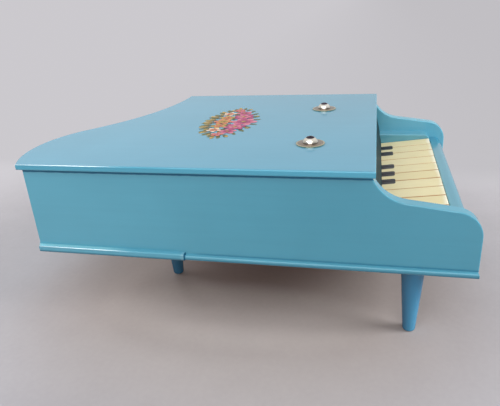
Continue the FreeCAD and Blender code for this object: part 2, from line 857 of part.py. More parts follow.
def make_legs():
    """Turned, tapered legs with a tenon: the front ones go into the key blocks, the tail one into a glue block."""
    pieces = []
    foot = s.leg_foot_diameter / 2
    top = s.leg_top_diameter / 2
    tenon = s.tenon_diameter / 2
    for label, leg_x, leg_v in (
        ("front_bass_leg", -leg_inset, s.front_leg_setback),
        ("front_treble_leg", leg_inset, s.front_leg_setback),
        ("tail_leg", s.tail_leg_shift, tail_leg_v),
    ):
        body = new_body(label, leg_x, leg_v)
        profile = draw_outline(
            new_sketch(body, "XZ_Plane"),
            (0, -s.leg_height),
            (foot - s.foot_round, -s.leg_height),
            (foot, s.foot_round - s.leg_height, s.foot_round),
            (top, 0),
            (tenon, 0),
            (tenon, s.tenon_length),
            (0, s.tenon_length),
        )
        turn(body, profile)
        pieces.append(body)
    half = s.leg_block_width / 2
    block = new_body("tail_leg_block", s.tail_leg_shift, tail_leg_v)
    footing = new_sketch(block, "XY_Plane", s.tail_board_thick)
    pad(block, draw_box(footing, -half, half, -half, half), s.leg_block_height)
    cut_through(block, draw_circle(new_sketch(block, "XY_Plane"), 0, 0, tenon + s.running_clearance))
    return pieces + [block]


def check(pieces):
    for thing in doc.Objects:
        if "Invalid" in thing.State or "Error" in thing.State:
            raise ValueError(f"{thing.Label} did not compute")
    for piece in pieces:
        if piece.Shape.isNull() or not piece.Shape.isValid():
            raise ValueError(f"{piece.Label} has no valid shape")


pieces = (
    make_base_boards() + make_sides() + make_bentside() + make_lid() + make_key_frame() + make_keys()
    + make_hammers() + make_chimes() + make_fittings() + make_legs()
)
doc.recompute()
check(pieces)
os.makedirs("parts", exist_ok=True)
for piece in pieces:
    piece.Shape.exportStep(f"parts/{piece.Label}.step")
print(f"{len(pieces)} nodes, {sum(len(piece.Shape.Solids) for piece in pieces)} solids")
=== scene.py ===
# %% [markdown]
# # A turquoise toy grand piano
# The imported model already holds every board, key, hammer and screw at its true size. Blender's part is the
# looks: gloss paint, cream keys with painted sharps, nickel washers and a spray of flowers on the lid.
# Nothing that comes from the model is moved, because its pieces have to keep turning on their rods.

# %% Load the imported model
import math

import bmesh
import bpy
from mathutils import Matrix, Vector


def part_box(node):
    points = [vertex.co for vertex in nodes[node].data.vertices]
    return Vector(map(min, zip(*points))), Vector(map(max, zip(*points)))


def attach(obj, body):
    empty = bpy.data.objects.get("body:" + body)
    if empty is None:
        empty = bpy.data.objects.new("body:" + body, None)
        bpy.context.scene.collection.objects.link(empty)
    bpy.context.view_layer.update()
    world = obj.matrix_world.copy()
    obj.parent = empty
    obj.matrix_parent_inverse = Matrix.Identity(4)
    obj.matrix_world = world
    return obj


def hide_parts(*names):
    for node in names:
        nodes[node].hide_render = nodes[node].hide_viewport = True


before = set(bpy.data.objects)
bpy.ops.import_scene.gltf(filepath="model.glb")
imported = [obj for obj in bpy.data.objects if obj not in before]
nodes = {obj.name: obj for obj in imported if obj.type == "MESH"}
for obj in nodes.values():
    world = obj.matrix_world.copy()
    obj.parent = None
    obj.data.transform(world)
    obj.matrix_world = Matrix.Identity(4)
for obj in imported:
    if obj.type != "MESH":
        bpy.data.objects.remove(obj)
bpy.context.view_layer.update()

MM = 0.001

# %% [markdown]
# ## Camera
# The camera stands at the bass side, above the lid. Its place, turn and focal length were worked out from
# the straight edges of the case, so the edges of the model fall where the photograph has them. A camera
# looks along its own -Z axis, so the three directions below become the columns of its matrix.

# %% Camera at the photograph's viewing angle
CAMERA_PLACE = Vector((-0.41434, -0.09640, 0.23822))
CAMERA_YAW = 0.252
CAMERA_PITCH = -0.409
CAMERA_ROLL = -0.065
FOCAL_LENGTH_MM = 36.545
SENSOR_WIDTH_MM = 36
NEAREST_SEEN = 10 * MM
UP = Vector((0, 0, 1))

level = Vector((math.cos(CAMERA_YAW), math.sin(CAMERA_YAW), 0))
forward = level * math.cos(CAMERA_PITCH) + UP * math.sin(CAMERA_PITCH)
right = forward.cross(UP).normalized()
above = right.cross(forward)
rolled_right = right * math.cos(CAMERA_ROLL) + above * math.sin(CAMERA_ROLL)
rolled_up = above * math.cos(CAMERA_ROLL) - right * math.sin(CAMERA_ROLL)
turned = Matrix((rolled_right, rolled_up, -forward)).transposed().to_4x4()

camera = bpy.data.objects.new("camera", bpy.data.cameras.new("camera"))
bpy.context.scene.collection.objects.link(camera)
camera.matrix_world = Matrix.Translation(CAMERA_PLACE) @ turned
camera.data.lens = FOCAL_LENGTH_MM
camera.data.sensor_width = SENSOR_WIDTH_MM
camera.data.clip_start = NEAREST_SEEN
bpy.context.scene.camera = camera
print("camera looks along", [round(part, 3) for part in forward])

# %% [markdown]
# ## Mixing finishes
# A material in Blender is a small net of nodes. It could be wired up node by node, but a long net is hard to
# read. The class below lets a finish be written like a recipe: each method adds a node or two and hands back
# the socket that carries the result. The Mix node has sockets of the same name for numbers and for colours,
# so its colour sockets are picked by their number.

# %% Nodes written like a recipe
MIX_ONE, MIX_OTHER, MIXED = 6, 7, 2


class Recipe:
    """A net of nodes; a method adds a node or two and returns the socket with the result."""

    def put(self, kind, **settings):
        """Add a node and set it up."""
        added = self.tree.nodes.new(kind)
        for setting, value in settings.items():
            setattr(added, setting, value)
        return added

    def feed(self, socket, value):
        """Give a socket another socket's result, a colour or a number."""
        if isinstance(value, bpy.types.NodeSocket):
            self.tree.links.new(value, socket)
        elif socket.type == "RGBA":
            socket.default_value = (*value[:3], 1)
        else:
            socket.default_value = value

    def set(self, socket, value):
        """Feed an input of the shader."""
        self.feed(self.shader.inputs[socket], value)

    def work(self, operation, *values):
        """One step of arithmetic."""
        added = self.put("ShaderNodeMath", operation=operation)
        for socket, value in zip(added.inputs, values):
            self.feed(socket, value)
        return added.outputs["Value"]

    def times(self, first, *others):
        """The parts multiplied; of masks, this leaves what all of them cover."""
        product = first
        for other in others:
            product = self.work("MULTIPLY", product, other)
        return product

    def blend_of(self, one, share, other):
        """Two patterns added up, the first with its share of the whole."""
        return self.work("ADD", self.times(one, share), self.times(other, 1 - share))

    def distance(self, one, other):
        """The length of a way whose two parts lie at right angles."""
        return self.work("SQRT", self.work("MULTIPLY_ADD", one, one, self.times(other, other)))

    def split(self, vector):
        """The three parts of a vector."""
        added = self.put("ShaderNodeSeparateXYZ")
        self.feed(added.inputs["Vector"], vector)
        return [added.outputs[axis] for axis in "XYZ"]

    def step(self, value, start, full):
        """0 up to start and 1 from full on, with a smooth change between; either may be the greater."""
        added = self.put("ShaderNodeMapRange", interpolation_type="SMOOTHSTEP")
        for socket, part in zip(("Value", "From Min", "From Max"), (value, start, full)):
            self.feed(added.inputs[socket], part)
        return added.outputs["Result"]

    def ramp(self, factor, *stops, steps=False):
        """Colours laid along 0 to 1; a stop is (position, colour) and a plain number is a grey."""
        added = self.put("ShaderNodeValToRGB")
        self.feed(added.inputs["Fac"], factor)
        added.color_ramp.interpolation = "CONSTANT" if steps else "LINEAR"
        points = added.color_ramp.elements
        for _ in stops[2:]:
            points.new(0.5)
        for point, (position, colour) in zip(points, stops):
            point.position = position
            point.color = (colour,) * 3 + (1,) if isinstance(colour, (int, float)) else (*colour, 1)
        return added.outputs["Color"]

    def mix(self, factor, one, other, way="MIX"):
        """Colour one at factor 0, the other at factor 1, or what another way of mixing makes of them."""
        added = self.put("ShaderNodeMix", data_type="RGBA", blend_type=way)
        self.feed(added.inputs["Factor"], factor)
        self.feed(added.inputs[MIX_ONE], one)
        self.feed(added.inputs[MIX_OTHER], other)
        return added.outputs[MIXED]

    def shaded(self, colour, shade):
        """A colour multiplied by a shade."""
        return self.mix(1, colour, shade, way="MULTIPLY")


# %% [markdown]
# ## From a recipe to a material
# A finish is the recipe of one surface. All its patterns read Object coordinates, which are metres in the
# model's own frame, so a grain line keeps its true width. The way that a surface faces is at hand too: it
# tells the top of a board from its edge.


# %% A material for each finish
class Finish(Recipe):
    """A material being mixed."""

    def __init__(self, name, **constants):
        self.material = bpy.data.materials.new(name)
        self.material.use_nodes = True
        self.tree = self.material.node_tree
        self.shader = self.tree.nodes["Principled BSDF"]
        for socket, value in constants.items():
            self.set(socket.replace("_", " "), value)
        source = self.put("ShaderNodeTexCoord")
        self.place = source.outputs["Object"]
        self.facing = source.outputs["Normal"]

    def where(self):
        """Each point's place in metres: across the case, along it and up."""
        return self.split(self.place)

    def faces(self):
        """How far each point faces the treble side, the tail and upwards."""
        return self.split(self.facing)

    def stretched(self, scale):
        """Object coordinates stretched along each axis."""
        mapping = self.put("ShaderNodeMapping")
        self.feed(mapping.inputs["Vector"], self.place)
        mapping.inputs["Scale"].default_value = scale
        return mapping.outputs["Vector"]

    def noise(self, cells, detail=2, roughness=0.5, distortion=0):
        """A cloudy pattern with so many cells in a metre, alike each way or one number for each axis."""
        even = isinstance(cells, (int, float))
        added = self.put("ShaderNodeTexNoise")
        self.feed(added.inputs["Vector"], self.place if even else self.stretched(cells))
        self.feed(added.inputs["Scale"], cells if even else 1)
        for socket, value in zip(("Detail", "Roughness", "Distortion"), (detail, roughness, distortion)):
            self.feed(added.inputs[socket], value)
        return added.outputs["Fac"]

    def attribute(self, name):
        """A number that the mesh keeps for each point."""
        return self.put("ShaderNodeAttribute", attribute_name=name).outputs["Fac"]

    def relief(self, height, depth):
        """Bump of a real depth in metres."""
        added = self.put("ShaderNodeBump")
        self.feed(added.inputs["Height"], height)
        added.inputs["Distance"].default_value = depth
        self.set("Normal", added.outputs["Normal"])


def dress(finish, *names):
    """Give CAD nodes a finish in place of their plain colour."""
    for name in names:
        slots = nodes[name].data.materials
        slots.clear()
        slots.append(finish.material)
    print(f"{finish.material.name}: {', '.join(names)}")


# %% [markdown]
# ## Turquoise gloss paint
# The case is brush-painted wood under a glossy coat. Seen flat on it is an even turquoise; seen along the
# lid it turns pale, because gloss mirrors the room at a grazing angle. That comes from the shader. The
# recipe adds the faint streaks that the brush left along the stroke, and paints the tail end lighter than
# the keyboard
# end: painted light, standing for the stronger light from the tail.

# %% Mix the gloss paint
TURQUOISE = (0.082, 0.315, 0.425)
# The lighter turquoise is painted light: the tail end of the sides and the treble side's inner face.
TURQUOISE_LIT = (0.123, 0.410, 0.540)
FRONT_Y, TAIL_Y = -0.12, 0.16
PAINT_IOR = 1.5
BRUSHED_SHADE = ((0.35, 0.93), (0.65, 1.0))
GLOSS_ROUGHNESS = ((0.3, 0.09), (0.75, 0.15))
PEEL_DEPTH = 0.002 * MM


def gloss_paint(name, stroke, front, tail):
    """Gloss paint painted lighter from front to tail, as painted light; stroke has few cells along the
    brush's way.
    """
    paint = Finish(name, IOR=PAINT_IOR)
    # Painted light: the paint is lighter towards the tail, where the light is stronger.
    lit_toward_tail = paint.mix(paint.step(paint.where()[1], FRONT_Y, TAIL_Y), front, tail)
    drift = paint.noise(14, detail=3)
    streak = paint.noise(stroke, detail=4, roughness=0.6)
    brushed = paint.ramp(paint.blend_of(drift, 0.7, streak), *BRUSHED_SHADE)
    paint.coat = paint.shaded(lit_toward_tail, brushed)
    paint.set("Base Color", paint.coat)
    smear = paint.noise(45, detail=4, roughness=0.65)
    paint.set("Roughness", paint.ramp(smear, *GLOSS_ROUGHNESS))
    paint.relief(paint.noise(420, detail=1), PEEL_DEPTH)
    return paint


# %% [markdown]
# ## Edges that hands have rubbed
# Near the tail, where the toy is lifted, the rounded edges of the boards shine more than the flats. A white
# line could be painted there, but it would stay when the light moves. So the edges get a second, harder coat
# that mirrors more, and a mask finds them by the way that they face.

# %% Polish the edges near the tail
RUB_AND_HIGHLIGHT_START_Y, RUB_AND_HIGHLIGHT_END_Y = 0.068, 0.100
RUBBED_IOR = 4.0
RUBBED_ROUGHNESS = 0.12
EDGE_BLUR = 0.1


def rubbed_and_highlit(paint):
    """1 near the tail and 0 elsewhere; there the edges get a harder gloss and the lip's top a painted
    highlight.
    """
    return paint.step(paint.where()[1], RUB_AND_HIGHLIGHT_START_Y, RUB_AND_HIGHLIGHT_END_Y)


def polish_edges(paint, low, high):
    """A harder gloss near the tail, where a rounded edge faces upwards by an amount from low to high."""
    upward = paint.faces()[2]
    rise = paint.step(upward, low - EDGE_BLUR, low)
    fall = paint.step(upward, high + EDGE_BLUR, high)
    paint.set("Coat Weight", paint.times(rise, fall, rubbed_and_highlit(paint)))
    paint.set("Coat IOR", RUBBED_IOR)
    paint.set("Coat Roughness", RUBBED_ROUGHNESS)


# %% [markdown]
# ## Lid, slip and key blocks
# The lid's top is painted darker than its side, a painted shade that offsets the stronger light from above,
# and lighter towards the tail, as painted light. The slip in front of the keys is brushed along the keyboard
# and painted deeper towards the treble end, a painted shade out of the light. The key blocks take a lighter
# copy of the paint, as painted light.

# %% Paint the lid
# Painted shade and light: the top is painted darker than the edge against the stronger light from above, and
# lighter at the tail.
LID_FRONT = (0.080, 0.280, 0.400)
LID_TAIL = (0.098, 0.328, 0.468)
LID_EDGE = (0.086, 0.370, 0.515)
LID_TURNS_DOWN = (0.95, 0.65)
LID_POLISHED = (0.40, 0.85)
ALONG_CASE = (300, 9, 300)
lid_paint = gloss_paint("turquoise_gloss_lid", ALONG_CASE, LID_FRONT, LID_TAIL)
lid_side = lid_paint.step(lid_paint.faces()[2], *LID_TURNS_DOWN)
lid_paint.set("Base Color", lid_paint.mix(lid_side, lid_paint.coat, LID_EDGE))
polish_edges(lid_paint, *LID_POLISHED)
dress(lid_paint, "lid")

# %% Paint the slip and the key blocks
SLIP_PALE = (0.092, 0.302, 0.400)
SLIP_SHADED = (0.045, 0.235, 0.350)
SLIP_SHADE_X = (0.050, 0.100)
BLOCK_LIT = (0.106, 0.345, 0.455)
ALONG_KEYBOARD = (9, 300, 300)
slip_paint = gloss_paint("turquoise_gloss_slip", ALONG_KEYBOARD, SLIP_PALE, SLIP_PALE)
# Painted shade: the slip is painted deeper towards the treble end, where the far cheek keeps the light off
# it.
shaded_treble_end = slip_paint.step(slip_paint.where()[0], *SLIP_SHADE_X)
slip_paint.set("Base Color", slip_paint.mix(shaded_treble_end, slip_paint.coat, SLIP_SHADED))
dress(slip_paint, "key_slip")
# Painted light: the key blocks get a lighter copy of the case paint.
block_paint = gloss_paint("turquoise_gloss_block", ALONG_CASE, BLOCK_LIT, BLOCK_LIT)
dress(block_paint, "bass_key_block", "treble_key_block")

# %% [markdown]
# ## Painted shade lines, a chipped lip and a nameboard painted dark
# Where the lid and the base lip meet the sides, a thin dark line of painted shade stands for the shade in
# those corners: a mask on height darkens the paint in a band a couple of millimetres tall. The base lip gets
# a painted highlight on top near the tail and painted shade along its lower edge, and beside the butt joint
# of its two boards it has lost a flake of paint, so the pale undercoat shows there. The nameboard under the
# lid is painted near black, as painted shade.

# %% Paint shade into the corners of the sides
# The dark colour of the painted shade lines, and of the crack at the lip's joint.
LINE_DARK = (0.006, 0.112, 0.205)
LINE_RAGGED = 0.6 * MM
LID_LINE_START, LID_LINE_FULL = 2.2 * MM, 1.3 * MM
LIP_LINE_START, LIP_LINE_FULL = 2.2 * MM, 0.9 * MM
LIP_LINE_FADE = 20 * MM
LIP_LINE_SHARE = 0.45
lid_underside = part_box("lid")[0][2]
lip_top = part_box("base_front_board")[1][2]
joint_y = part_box("base_front_board")[1][1]


def side_paint(name, front, tail):
    """Gloss paint with painted shade: dark lines below the lid and above the base's front lip."""
    paint = gloss_paint(name, ALONG_CASE, front, tail)
    _, along, height = paint.where()
    ragged = paint.work("MULTIPLY_ADD", paint.noise(150), LINE_RAGGED, height)
    shade_below_lid = paint.step(ragged, lid_underside - LID_LINE_START, lid_underside - LID_LINE_FULL)
    shade_above_lip = paint.step(ragged, lip_top + LIP_LINE_START, lip_top + LIP_LINE_FULL)
    beside_front = paint.step(along, joint_y, joint_y - LIP_LINE_FADE)
    painted_shade = paint.work("MAXIMUM", shade_below_lid, paint.times(shade_above_lip, beside_front, LIP_LINE_SHARE))
    paint.set("Base Color", paint.mix(painted_shade, paint.coat, LINE_DARK))
    return paint


# Both sides are painted lighter towards the tail as painted light; the treble side and the bentside get the
# lighter paint all over, painted light on the inner face of the keyboard well.
dress(side_paint("turquoise_gloss_spine", TURQUOISE, TURQUOISE_LIT), "bass_side")
dress(side_paint("turquoise_gloss_treble", TURQUOISE_LIT, TURQUOISE_LIT), "treble_side", "bentside")

# %% Paint a highlight on the base lip's top and shade along its lower edge
LIP_HIGHLIGHT = (0.24, 0.56, 0.64)
LIP_SHADED_LOW = (0.052, 0.205, 0.290)
LIP_FLAT = (0.90, 0.98)
LOW_EDGE_START, LOW_EDGE_FULL = 2.6 * MM, 1.2 * MM
lip_x, _, lip_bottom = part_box("base_tail_board")[0]
lip_paint = gloss_paint("turquoise_gloss_base", ALONG_CASE, TURQUOISE, TURQUOISE_LIT)
lip_across, lip_along, lip_height = lip_paint.where()
lip_upward = lip_paint.faces()[2]
# Painted highlight on the lip's flat top near the tail; painted shade along its lower edge.
highlight_top = lip_paint.times(lip_paint.step(lip_upward, *LIP_FLAT), rubbed_and_highlit(lip_paint))
highlighted_coat = lip_paint.mix(highlight_top, lip_paint.coat, LIP_HIGHLIGHT)
shaded_low_edge = lip_paint.step(lip_height, lip_bottom + LOW_EDGE_START, lip_bottom + LOW_EDGE_FULL)
lip_coat = lip_paint.mix(shaded_low_edge, highlighted_coat, LIP_SHADED_LOW)
print(f"lip from {lip_bottom / MM:.1f} to {lip_top / MM:.1f} mm above the floor")

# %% Chip the base lip at the joint of its boards
UNDERCOAT = (0.50, 0.56, 0.56)
BARE_BOARD = (0.30, 0.17, 0.080)
CHIP_INNER, CHIP_OUTER = 5 * MM, 3 * MM
CHIP_START, CHIP_FULL = 0.1 * MM, 0.3 * MM
CHIP_END, CHIP_FADE = 4.0 * MM, 3.2 * MM
CHIP_JAGGED = 2.4 * MM
CHIP_SHARE = 0.12
CRACK_EDGE, CRACK_HEART = 0.55 * MM, 0.25 * MM
TURNS_UNDER = (-0.5, -0.9)
LIP_POLISHED = (0.35, 0.75)
edge_near = lip_paint.step(lip_across, lip_x + CHIP_INNER, lip_x + CHIP_OUTER)
jagged = lip_paint.work("MULTIPLY_ADD", lip_paint.noise(700, detail=3), CHIP_JAGGED, lip_along)
chip_start = lip_paint.step(lip_along, joint_y + CHIP_START, joint_y + CHIP_FULL)
chip_end = lip_paint.step(jagged, joint_y + CHIP_END, joint_y + CHIP_FADE)
chip = lip_paint.times(chip_start, chip_end, edge_near, CHIP_SHARE)
off_joint = lip_paint.work("ABSOLUTE", lip_paint.work("SUBTRACT", lip_along, joint_y))
crack = lip_paint.step(off_joint, CRACK_EDGE, CRACK_HEART)
flaked = lip_paint.mix(chip, lip_coat, UNDERCOAT)
edge_coat = lip_paint.mix(crack, flaked, LINE_DARK)
downwards = lip_paint.step(lip_upward, *TURNS_UNDER)
lip_paint.set("Base Color", lip_paint.mix(downwards, edge_coat, BARE_BOARD))
polish_edges(lip_paint, *LIP_POLISHED)
dress(lip_paint, "base_front_board", "base_tail_board")

# %% Paint the nameboard dark and flat, as painted shade under the lid
# Painted shade: the nameboard sits in the shade under the lid, and its paint is made near black for that.
NAMEBOARD_SHADE = (0.006, 0.024, 0.032)
NAMEBOARD_SHADE_SCUFFED = (0.010, 0.035, 0.044)
FLAT_PAINT_IOR = 1.3
SCUFF_DEPTH = 0.03 * MM
name_paint = Finish("nameboard_painted_shade", IOR=FLAT_PAINT_IOR)
scuff = name_paint.noise(ALONG_KEYBOARD, detail=4)
name_paint.set("Base Color", name_paint.ramp(scuff, (0.35, NAMEBOARD_SHADE), (0.7, NAMEBOARD_SHADE_SCUFFED)))
name_paint.set("Roughness", name_paint.ramp(scuff, (0.3, 0.55), (0.7, 0.7)))
name_paint.relief(scuff, SCUFF_DEPTH)
dress(name_paint, "nameboard")

# %% [markdown]
# ## Legs
# The three peg legs were turned and painted apart from the case, in a coat that is a little bluer. The front
# pair is painted lighter near the floor on the side away from the tail, as painted light, and darker on
# their backs, as painted shade; the leg below the tail gets the darker paint all over, as painted shade.

# %% Paint the legs
LEG_BLUE = (0.046, 0.213, 0.372)
LEG_SHADED = (0.032, 0.140, 0.250)
LEG_LIT = (0.066, 0.290, 0.480)
ALONG_LEG = (300, 300, 30)
LIT_HIGHEST, LIT_LOWEST = 0.65, 0.1
LIT_SIDE = (0.8, -0.6)
SHADED_SIDE = (-0.3, 0.9)
SHADE_SHARE = 0.8
leg_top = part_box("front_bass_leg")[1][2]
leg_paint = gloss_paint("leg_blue_gloss", ALONG_LEG, LEG_BLUE, LEG_BLUE)
tailward = leg_paint.faces()[1]
# Painted light near the floor on the front of the legs, painted shade on their backs.
near_floor = leg_paint.step(leg_paint.where()[2], LIT_HIGHEST * leg_top, LIT_LOWEST * leg_top)
foot = leg_paint.times(near_floor, leg_paint.step(tailward, *LIT_SIDE))
shaded_back = leg_paint.times(leg_paint.step(tailward, *SHADED_SIDE), SHADE_SHARE)
back_shaded = leg_paint.mix(shaded_back, leg_paint.coat, LEG_SHADED)
leg_paint.set("Base Color", leg_paint.mix(foot, back_shaded, LEG_LIT))
dress(leg_paint, "front_bass_leg", "front_treble_leg")
# The tail leg is painted darker all over: painted shade under the case.
dress(gloss_paint("leg_blue_gloss_shaded", ALONG_LEG, LEG_SHADED, LEG_SHADED), "tail_leg")

# %% [markdown]
# ## Keys
# The white keys are wooden slats with cream paint on top; the sides keep their bare, orange-brown wood,
# which shows as the thin line between two keys, in some joints more than in others. The sharps aren't pieces
# at all: they are painted, with a round-nosed brush mark over every joint that has a black key on a real
# piano. The mask below measures the distance to each mark's outline, so one recipe serves all the keys.

# %% Mask of the painted sharps
KEY_COUNT = 10
KEY_PITCH = 17.8 * MM
SHARP_JOINTS = (1, 2, 4, 5, 6, 8, 9)
SHARP_HALF_WIDTH = 5.5 * MM
SHARP_NOSE_ROUND = 2.0 * MM
SHARP_NOSE_Y = -116.2 * MM
SHARP_SHIFT = -0.4 * MM
SHARP_WAVER = 0.8 * MM
SHARP_OUTSIDE = SHARP_NOSE_ROUND + 0.55 * MM
SHARP_INSIDE = SHARP_NOSE_ROUND + 0.25 * MM


def painted_sharps(finish, across, along):
    """1 inside a painted sharp, 0 outside, with a slightly wavering edge."""
    waver = finish.times(finish.noise(260), SHARP_WAVER)
    ahead = finish.work("MAXIMUM", finish.work("SUBTRACT", SHARP_NOSE_Y + SHARP_NOSE_ROUND, along), 0)
    inside = None
    for joint in SHARP_JOINTS:
        middle = (joint - KEY_COUNT / 2) * KEY_PITCH + SHARP_SHIFT
        aside = finish.work("ABSOLUTE", finish.work("SUBTRACT", across, middle))
        over = finish.work("MAXIMUM", finish.work("SUBTRACT", aside, SHARP_HALF_WIDTH - SHARP_NOSE_ROUND), 0)
        reach = finish.work("ADD", finish.distance(over, ahead), waver)
        mark = finish.step(reach, SHARP_OUTSIDE, SHARP_INSIDE)
        inside = mark if inside is None else finish.work("MAXIMUM", inside, mark)
    return inside


print(f"{len(SHARP_JOINTS)} sharps over {KEY_COUNT} keys")

# %% Mask of the brown joints
JOINT_STAIN = (0.7, 1.0, 0.55, 1.0, 0.85, 0.4, 0.5, 0.6, 0.3)
STAIN_EDGE, STAIN_HEART = 0.052, 0.030


def counted_in_keys(finish, across):
    """The place across the keyboard in key widths, from the bass end."""
    return finish.work("MULTIPLY_ADD", across, 1 / KEY_PITCH, KEY_COUNT / 2)


def stained_joints(finish, across):
    """How brown a key is near the joint with its neighbour."""
    in_keys = counted_in_keys(finish, across)
    joint = finish.work("ROUND", in_keys)
    from_joint = finish.work("ABSOLUTE", finish.work("SUBTRACT", in_keys, joint))
    edge = finish.step(from_joint, STAIN_EDGE, STAIN_HEART)
    stops = [((number + 0.5) / KEY_COUNT, stain) for number, stain in enumerate(JOINT_STAIN)]
    return finish.times(edge, finish.ramp(finish.work("DIVIDE", joint, KEY_COUNT), *stops, steps=True))


print(f"{len(JOINT_STAIN)} joints, the brownest {max(JOINT_STAIN)}")

# %% Mix the cream of the keys
CREAM = (0.77, 0.670, 0.372)
CREAM_PALE = (0.83, 0.745, 0.455)
NOSE_HIGHLIGHT = (0.93, 0.89, 0.70)
NOSE_WAVER = -6 * MM
NOSE_START, NOSE_FULL = 1.5 * MM, -2.5 * MM
key_front_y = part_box("key_1_c")[0][1]
key_paint = Finish("cream_key", IOR=PAINT_IOR)
key_across, key_along, _ = key_paint.where()
grain = key_paint.noise((420, 14, 420), detail=5, roughness=0.6)
blotch = key_paint.noise(60, detail=3)
own_tone = key_paint.put("ShaderNodeTexWhiteNoise", noise_dimensions="1D")
key_paint.feed(own_tone.inputs["W"], key_paint.work("FLOOR", counted_in_keys(key_paint, key_across)))
tone = key_paint.blend_of(key_paint.blend_of(grain, 0.6, blotch), 0.8, own_tone.outputs["Value"])
cream = key_paint.ramp(tone, (0.34, CREAM), (0.64, CREAM_PALE))
# Painted highlight: a pale band along the rounded front edge of each key.
ragged_nose_line = key_paint.work("MULTIPLY_ADD", blotch, NOSE_WAVER, key_along)
nose = key_paint.step(ragged_nose_line, key_front_y + NOSE_START, key_front_y + NOSE_FULL)
cream = key_paint.mix(nose, cream, NOSE_HIGHLIGHT)
print(f"keys start at y = {key_front_y / MM:.1f} mm")

# %% Add the bare sides and the sharps
KEY_SIDE = (0.46, 0.200, 0.050)
KEY_SIDE_DARK = [part * 0.7 for part in KEY_SIDE]
SHARP_BLACK = (0.016, 0.013, 0.018)
SIDE_FACES = (0.55, 0.9)
NOT_BELOW = (-0.6, -0.3)
KEY_GRAIN_DEPTH = 0.06 * MM
trebleward, _, upward = key_paint.faces()
sideways = key_paint.step(key_paint.work("ABSOLUTE", trebleward), *SIDE_FACES)
bare = key_paint.work("MAXIMUM", sideways, stained_joints(key_paint, key_across))
wood = key_paint.ramp(grain, (0.3, KEY_SIDE_DARK), (0.7, KEY_SIDE))
marks = painted_sharps(key_paint, key_across, key_along)
sharp = key_paint.times(marks, key_paint.step(upward, *NOT_BELOW))
key_paint.set("Base Color", key_paint.mix(sharp, key_paint.mix(bare, cream, wood), SHARP_BLACK))
key_paint.set("Roughness", key_paint.ramp(blotch, (0.3, 0.36), (0.7, 0.5)))
key_paint.relief(grain, KEY_GRAIN_DEPTH)


def numbered(kind):
    """The nodes of one kind that stand in the row of ten, from bass to treble."""
    found = [name for name in nodes if name.startswith(kind) and name.split("_")[1].isdigit()]
    return sorted(found, key=lambda name: int(name.split("_")[1]))


dress(key_paint, *numbered("key_"))

# %% [markdown]
# ## Metal
# Two nickel cup washers shine on the lid, tarnished to a warm brown round the brim. The rods, the wire and
# the iron bar sit inside: hardly seen, but looked at when the toy is taken apart.

# %% Mix the metals
LINE_DEPTH = 0.01 * MM


def metal(name, bright, dull, roughness, lines):
    """A metal with a drift towards a duller tone; lines gives the cells of its fine lines."""
    finish = Finish(name, Metallic=1.0)
    tarnish = finish.noise(160, detail=4, roughness=0.6)
    drawn = finish.noise(lines, detail=3)
    finish.colour = finish.ramp(tarnish, (0.42, bright), (0.72, dull))
    finish.set("Base Color", finish.colour)
    smooth, rough = roughness
    finish.set("Roughness", finish.ramp(drawn, (0.3, smooth), (0.7, rough)))
    finish.relief(drawn, LINE_DEPTH)
    return finish


EVEN_LINES = (900, 900, 900)
nickel = metal("nickel_plate", (0.80, 0.77, 0.71), (0.62, 0.55, 0.44), (0.16, 0.28), EVEN_LINES)
steel = metal("drawn_steel", (0.55, 0.55, 0.56), (0.40, 0.39, 0.38), (0.25, 0.40), (30, 900, 900))
iron = metal("raw_iron", (0.12, 0.12, 0.125), (0.10, 0.085, 0.075), (0.55, 0.75), (400, 400, 400))
blued = metal("blued_steel", (0.060, 0.040, 0.065), (0.035, 0.026, 0.035), (0.25, 0.40), EVEN_LINES)
dress(steel, "key_pivot_rod", "hammer_pivot_wire", "chime_rods")
dress(iron, "chime_bar")

# %% Tarnish the cup washers and paint a highlight round their rims
BRIM_BROWN = (0.20, 0.145, 0.105)
BRIM_SHARE = 0.9
BRIM_START, BRIM_FULL = 2.2 * MM, 1.2 * MM
RIM_HIGHLIGHT = (0.52, 0.48, 0.33)
RIM_START, RIM_FULL = 0.86, 0.97
washer_low, washer_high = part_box("cup_washers")
washer_radius = (washer_high[1] - washer_low[1]) / 2
middle_x, middle_y, _ = [(low + high) / 2 for low, high in zip(washer_low, washer_high)]
washer_apart = (washer_high[0] - washer_low[0]) / 2 - washer_radius
across, along, rise = nickel.where()
from_middle = nickel.work("ABSOLUTE", nickel.work("SUBTRACT", across, middle_x))
off_x = nickel.work("SUBTRACT", from_middle, washer_apart)
off_y = nickel.work("SUBTRACT", along, middle_y)
brim = nickel.step(rise, washer_low[2] + BRIM_START, washer_low[2] + BRIM_FULL)
browned = nickel.mix(nickel.times(brim, BRIM_SHARE), nickel.colour, BRIM_BROWN)
# Painted highlight: a pale ring at the outer edge of each brim.
rim = nickel.step(nickel.distance(off_x, off_y), RIM_START * washer_radius, RIM_FULL * washer_radius)
nickel.set("Base Color", nickel.mix(rim, browned, RIM_HIGHLIGHT))
dress(nickel, "cup_washers")

# %% [markdown]
# ## Bare wood inside
# Rails, battens and hammers were never painted. Softwood gets broad rings along the board, the hammers a
# tighter hardwood grain along their arms.

# %% Mix the bare woods
WOOD_IOR = 1.45
PORES_PER_RING = 4
WOOD_DEPTH = 0.08 * MM


def bare_wood(name, pale, dark, rings):
    """Plain wood with growth rings seen along the board and short pores."""
    finish = Finish(name, IOR=WOOD_IOR)
    growth = finish.noise(rings, detail=4, roughness=0.55, distortion=0.6)
    pores = finish.noise([part * PORES_PER_RING for part in rings])
    finish.set("Base Color", finish.ramp(growth, (0.34, dark), (0.60, pale)))
    finish.set("Roughness", finish.ramp(pores, (0.3, 0.55), (0.7, 0.75)))
    finish.relief(finish.blend_of(growth, 0.5, pores), WOOD_DEPTH)
    return finish


